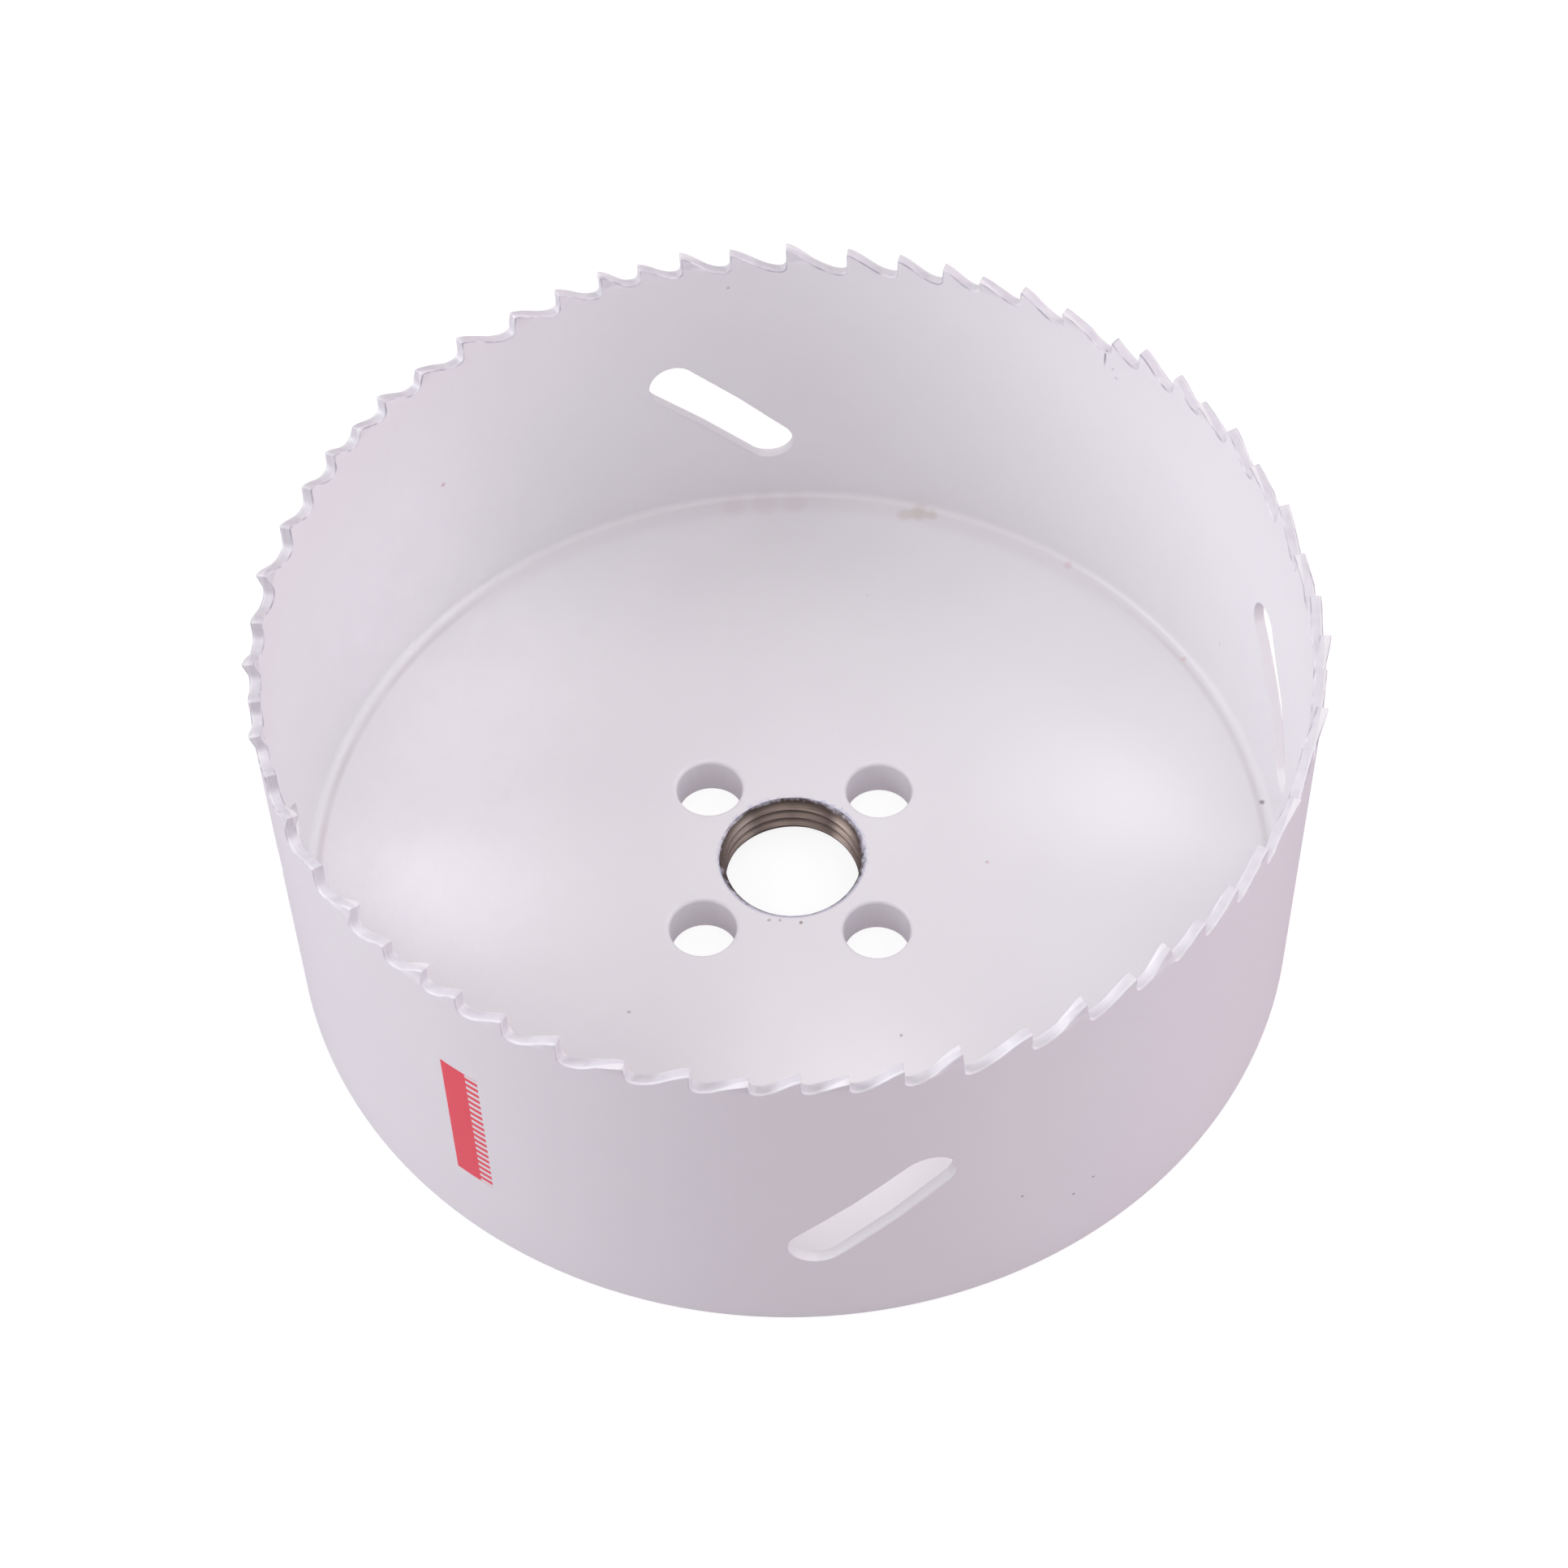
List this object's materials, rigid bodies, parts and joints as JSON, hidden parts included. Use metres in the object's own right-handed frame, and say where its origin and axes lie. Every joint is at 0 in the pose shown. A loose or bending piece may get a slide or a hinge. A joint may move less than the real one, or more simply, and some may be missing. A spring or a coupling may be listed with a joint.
{
  "type": "hole saw",
  "caption": "Round cup-shaped hole saw: a toothed band with slanted plug slots, welded round a thick disc with a threaded centre hole and drive-pin holes.",
  "frame": {"origin": "centre of the disc's underside, on the saw's axis", "axes": "+Z along the saw's axis, from the disc towards the tooth tips; +X and +Y halfway between the drive-pin holes"},
  "size_m": [0.1077, 0.108, 0.044],
  "materials": {
    "painted_band": "white baked paint over the toothed steel band, semi-gloss",
    "painted_disc": "white baked paint over the steel disc, semi-gloss, with the arbor thread left bare",
    "bare_thread": "machined steel, unpainted"
  },
  "bodies": {
    "root": {"saw_wall": "painted_band", "base_plate": "painted_disc"}
  },
  "joints": []
}
